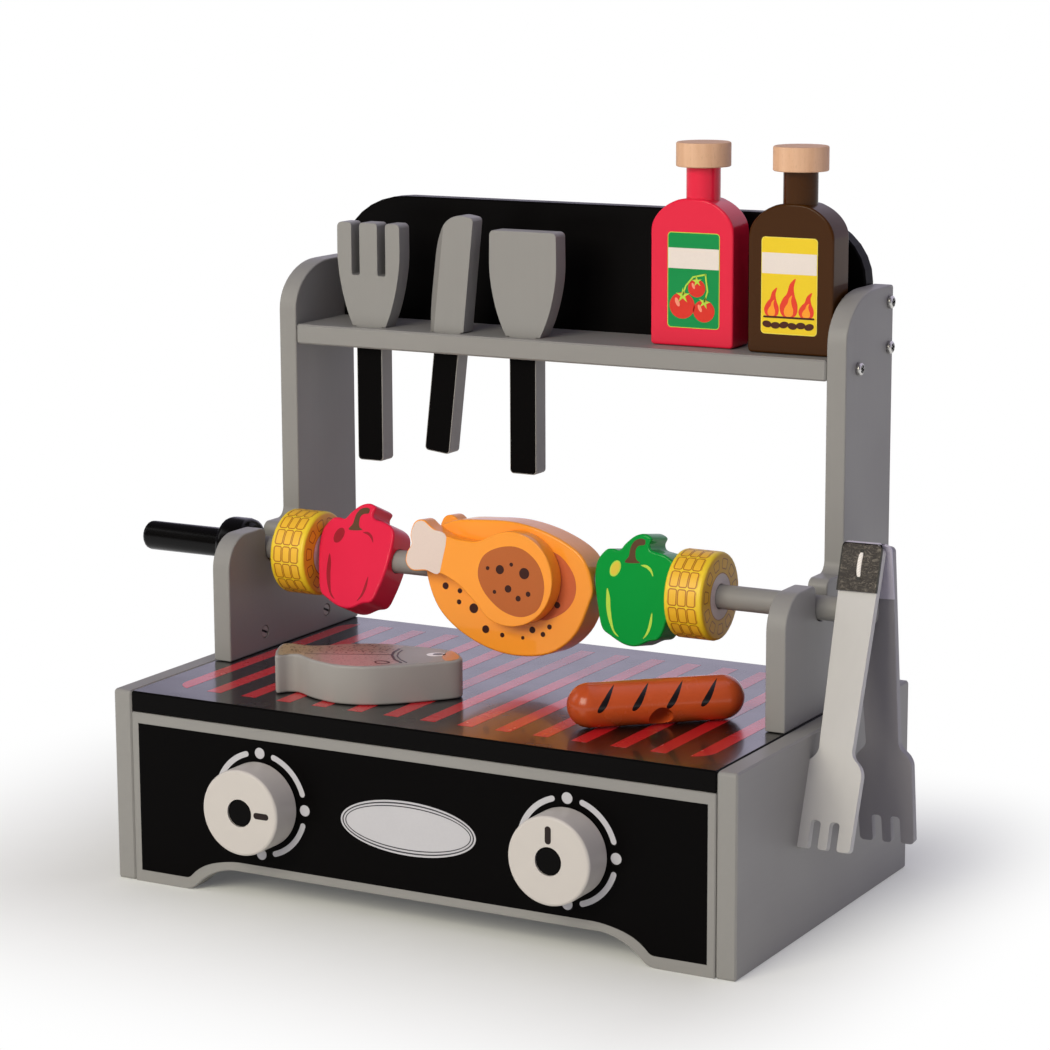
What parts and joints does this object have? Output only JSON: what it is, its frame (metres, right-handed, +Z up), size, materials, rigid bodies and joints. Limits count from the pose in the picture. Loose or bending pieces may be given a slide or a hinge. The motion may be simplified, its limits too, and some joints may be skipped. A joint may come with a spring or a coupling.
{
  "type": "toy barbecue grill",
  "caption": "Wooden toy barbecue grill with turning knobs, a turning spit of play food, a shelf of utensils and sauce bottles, and hanging tongs.",
  "frame": {"origin": "on the floor under the middle of the whole object's bounding box, spit handle and tongs included", "axes": "+X to the right along the spit, +Y from the knobs to the back, +Z up"},
  "size_m": [0.5062, 0.258, 0.4273],
  "materials": {
    "grey_lacquer": "satin grey lacquer on board",
    "black_lacquer": "satin black lacquer on board",
    "white_paint": "satin off-white paint on turned wood",
    "zinc": "bright zinc plating",
    "corn_paint": "satin yellow paint with printed kernels",
    "red_paint": "satin red paint",
    "green_paint": "satin green paint",
    "orange_paint": "satin orange paint",
    "fish_paint": "satin grey paint",
    "sausage_paint": "gloss brown-orange paint",
    "bottle_red": "satin red paint",
    "bottle_brown": "satin brown paint",
    "beech": "bare sanded beech",
    "leather": "embossed dark leather"
  },
  "bodies": {
    "grill": {"left_side_panel": "grey_lacquer", "right_side_panel": "grey_lacquer", "front_panel": "grey_lacquer", "back_panel": "grey_lacquer", "grill_top": "black_lacquer", "left_upright": "grey_lacquer", "right_upright": "grey_lacquer", "shelf": "grey_lacquer", "back_board": "black_lacquer", "left_post_screw_top": "zinc", "left_post_screw_back": "zinc", "left_post_screw_front": "zinc", "right_post_screw_top": "zinc", "right_post_screw_back": "zinc", "right_post_screw_front": "zinc", "left_cheek_bolt_front": "zinc", "left_cheek_bolt_back": "zinc", "right_cheek_bolt_front": "zinc", "right_cheek_bolt_back": "zinc", "left_barrel_nut_front": "zinc", "left_barrel_nut_back": "zinc", "right_barrel_nut_front": "zinc", "right_barrel_nut_back": "zinc", "left_knob_screw": "zinc", "right_knob_screw": "zinc", "left_knob_nut": "zinc", "right_knob_nut": "zinc"},
    "left_knob": {"left_knob": "white_paint", "left_knob_plug": "black_lacquer"},
    "right_knob": {"right_knob": "white_paint", "right_knob_plug": "black_lacquer"},
    "spit": {"spit_rod": "grey_lacquer", "spit_collar": "black_lacquer", "spit_handle": "black_lacquer"},
    "corn_left": {"corn_left": "corn_paint"},
    "red_pepper": {"red_pepper": "red_paint"},
    "chicken": {"chicken_body": "orange_paint", "chicken_drumstick_front": "orange_paint", "chicken_drumstick_back": "orange_paint"},
    "green_pepper": {"green_pepper": "green_paint"},
    "corn_right": {"corn_right": "corn_paint"},
    "fork": {"fork": "grey_lacquer"},
    "knife": {"knife": "grey_lacquer"},
    "spatula": {"spatula": "grey_lacquer"},
    "red_bottle": {"red_bottle": "bottle_red", "red_bottle_cap": "beech"},
    "brown_bottle": {"brown_bottle": "bottle_brown", "brown_bottle_cap": "beech"},
    "fish": {"fish": "fish_paint"},
    "sausage": {"sausage": "sausage_paint"},
    "tongs": {"tongs_front_arm": "grey_lacquer", "tongs_front_strap": "leather"},
    "tongs_rear": {"tongs_rear_arm": "grey_lacquer", "tongs_rear_strap": "leather"}
  },
  "joints": [
    {"name": "left_knob_turn", "type": "hinge", "parent": "grill", "child": "left_knob", "pos_m": [-0.0841, -0.118, 0.058], "axis": [0, 1, 0], "continuous": true},
    {"name": "right_knob_turn", "type": "hinge", "parent": "grill", "child": "right_knob", "pos_m": [0.1139, -0.118, 0.058], "axis": [0, 1, 0], "continuous": true},
    {"name": "spit_turn", "type": "hinge", "parent": "grill", "child": "spit", "pos_m": [0.0149, 0.027, 0.176], "axis": [1, 0, 0], "continuous": true},
    {"name": "red_pepper_slide", "type": "slide", "parent": "spit", "child": "red_pepper", "axis": [1, 0, 0], "range_m": [-0.0135, 0.0155]},
    {"name": "corn_left_slide", "type": "slide", "parent": "spit", "child": "corn_left", "axis": [1, 0, 0], "range_m": [-0.0135, 0.0155]},
    {"name": "chicken_slide", "type": "slide", "parent": "spit", "child": "chicken", "axis": [1, 0, 0], "range_m": [0, 0.047]},
    {"name": "green_pepper_slide", "type": "slide", "parent": "spit", "child": "green_pepper", "axis": [1, 0, 0], "range_m": [0, 0.047]},
    {"name": "corn_right_slide", "type": "slide", "parent": "spit", "child": "corn_right", "axis": [1, 0, 0], "range_m": [0, 0.047]},
    {"name": "fork_lift", "type": "slide", "parent": "grill", "child": "fork", "axis": [0, 0, 1], "range_m": [0, 0.085]},
    {"name": "knife_lift", "type": "slide", "parent": "grill", "child": "knife", "axis": [0.1132, 0, 0.9936], "range_m": [0, 0.085]},
    {"name": "spatula_lift", "type": "slide", "parent": "grill", "child": "spatula", "axis": [0, 0, 1], "range_m": [0, 0.085]},
    {"name": "red_bottle_lift", "type": "slide", "parent": "grill", "child": "red_bottle", "axis": [0, 0, 1], "range_m": [0, 0.06]},
    {"name": "brown_bottle_lift", "type": "slide", "parent": "grill", "child": "brown_bottle", "axis": [0, 0, 1], "range_m": [0, 0.06]},
    {"name": "fish_lift", "type": "slide", "parent": "grill", "child": "fish", "axis": [0, 0, 1], "range_m": [0, 0.1]},
    {"name": "sausage_lift", "type": "slide", "parent": "grill", "child": "sausage", "axis": [0, 0, 1], "range_m": [0, 0.1]},
    {"name": "tongs_lift", "type": "slide", "parent": "grill", "child": "tongs", "axis": [0, 0, 1], "range_m": [0, 0.15]},
    {"name": "tongs_open", "type": "hinge", "parent": "tongs", "child": "tongs_rear", "pos_m": [0.2291, 0.0312, 0.2115], "axis": [1, 0, 0], "range_deg": [0, 20]}
  ],
  "couplings": [
    {"joint": "corn_left_slide", "follows": "red_pepper_slide", "ratio": 1},
    {"joint": "green_pepper_slide", "follows": "chicken_slide", "ratio": 1},
    {"joint": "corn_right_slide", "follows": "chicken_slide", "ratio": 1}
  ]
}
